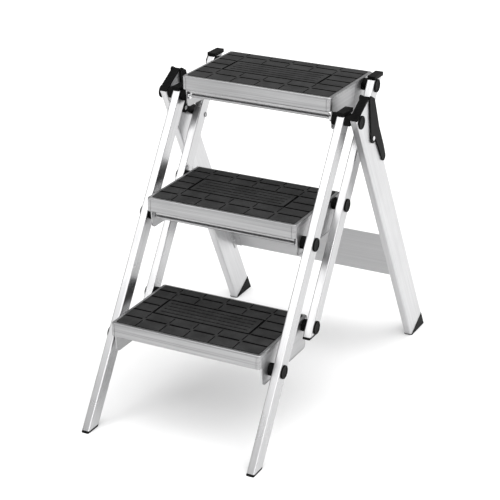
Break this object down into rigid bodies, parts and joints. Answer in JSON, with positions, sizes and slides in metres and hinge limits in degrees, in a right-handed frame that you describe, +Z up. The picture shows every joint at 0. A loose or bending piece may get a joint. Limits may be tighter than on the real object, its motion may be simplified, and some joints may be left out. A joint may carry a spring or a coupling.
{
  "type": "folding step stool",
  "caption": "Folding step stool with wide mat-covered treads on parallel aluminium stiles, and rear legs with a brace plate and locking levers.",
  "frame": {"origin": "middle of the footprint, on the floor", "axes": "+Z up, -Y towards the side that is climbed, +X to the right of someone climbing"},
  "size_m": [0.5064, 0.8814, 0.711],
  "materials": {
    "tube_metal": "satin brushed",
    "tread_metal": "brushed",
    "plate_metal": "satin",
    "brace_metal": "satin",
    "mat": "moulded brick pattern",
    "foot_rubber": "moulded",
    "black_plastic": "fine moulded grain",
    "steel": "zinc plated",
    "steel_dark": "turned"
  },
  "bodies": {
    "front_frame": {"front_stile_l": "tube_metal", "front_stile_r": "tube_metal", "front_foot_l": "foot_rubber", "front_foot_r": "foot_rubber", "front_cap_l": "black_plastic", "front_cap_r": "black_plastic", "front_pins": "steel", "front_pin_caps": "black_plastic", "pivot_block_l": "black_plastic", "pivot_block_r": "black_plastic"},
    "tread_1": {"tread_1_pan": "tread_metal", "tread_1_side_l": "plate_metal", "tread_1_side_r": "plate_metal", "tread_1_mat": "mat", "tread_1_spacers": "black_plastic", "tread_1_rivets": "steel"},
    "tread_2": {"tread_2_pan": "tread_metal", "tread_2_side_l": "plate_metal", "tread_2_side_r": "plate_metal", "tread_2_mat": "mat", "tread_2_spacers": "black_plastic", "tread_2_rivets": "steel", "tread_2_rail": "plate_metal"},
    "tread_3": {"tread_3_pan": "tread_metal", "tread_3_side_l": "plate_metal", "tread_3_side_r": "plate_metal", "tread_3_mat": "mat", "tread_3_spacers": "black_plastic", "tread_3_rivets": "steel", "tread_3_rail": "plate_metal"},
    "rear_stiles": {"rear_stile_l": "tube_metal", "rear_stile_r": "tube_metal", "rear_plug_l": "foot_rubber", "rear_plug_r": "foot_rubber", "rear_cap_l": "black_plastic", "rear_cap_r": "black_plastic", "rear_pins": "steel", "rear_pin_caps": "black_plastic", "lock_stud_l": "steel_dark", "lock_stud_r": "steel_dark"},
    "rear_legs": {"rear_leg_l": "tube_metal", "rear_leg_r": "tube_metal", "leg_cap_l": "black_plastic", "leg_cap_r": "black_plastic", "leg_foot_l": "foot_rubber", "leg_foot_r": "foot_rubber", "brace": "brace_metal", "brace_angle_l": "brace_metal", "brace_angle_r": "brace_metal", "brace_rivets": "steel", "lever_pin_l": "steel", "lever_pin_r": "steel"},
    "lever_l": {"lock_lever_l": "black_plastic"},
    "lever_r": {"lock_lever_r": "black_plastic"}
  },
  "joints": [
    {"name": "fold", "type": "hinge", "parent": "front_frame", "child": "tread_1", "pos_m": [0, -0.30345, 0.1835], "axis": [1, 0, 0], "range_deg": [-119.6, 0]},
    {"name": "tread_2_fold", "type": "hinge", "parent": "front_frame", "child": "tread_2", "pos_m": [0, -0.15495, 0.4185], "axis": [1, 0, 0], "range_deg": [-119.6, 0]},
    {"name": "tread_3_fold", "type": "hinge", "parent": "front_frame", "child": "tread_3", "pos_m": [0, -0.00645, 0.6535], "axis": [1, 0, 0], "range_deg": [-119.6, 0]},
    {"name": "rear_stile_fold", "type": "hinge", "parent": "tread_1", "child": "rear_stiles", "pos_m": [0, -0.13945, 0.218], "axis": [1, 0, 0], "range_deg": [0, 119.6]},
    {"name": "leg_fold", "type": "hinge", "parent": "front_frame", "child": "rear_legs", "pos_m": [0, -0.00645, 0.6535], "axis": [1, 0, 0], "range_deg": [-61.6, 0]},
    {"name": "lever_l_lift", "type": "hinge", "parent": "rear_legs", "child": "lever_l", "pos_m": [-0.23355, 0.05946, 0.59933], "axis": [0.9999, 0.0065, -0.0113], "range_deg": [0, 7], "stiffness_Nm_per_rad": 0.15, "springref_deg": -11.46},
    {"name": "lever_r_lift", "type": "hinge", "parent": "rear_legs", "child": "lever_r", "pos_m": [0.23355, 0.05946, 0.59933], "axis": [0.9999, -0.0065, 0.0113], "range_deg": [0, 7], "stiffness_Nm_per_rad": 0.15, "springref_deg": -11.46}
  ],
  "couplings": [
    {"joint": "tread_2_fold", "follows": "fold", "ratio": 1},
    {"joint": "tread_3_fold", "follows": "fold", "ratio": 1},
    {"joint": "rear_stile_fold", "follows": "fold", "ratio": -1},
    {"joint": "leg_fold", "follows": "fold", "ratio": 0.514}
  ]
}
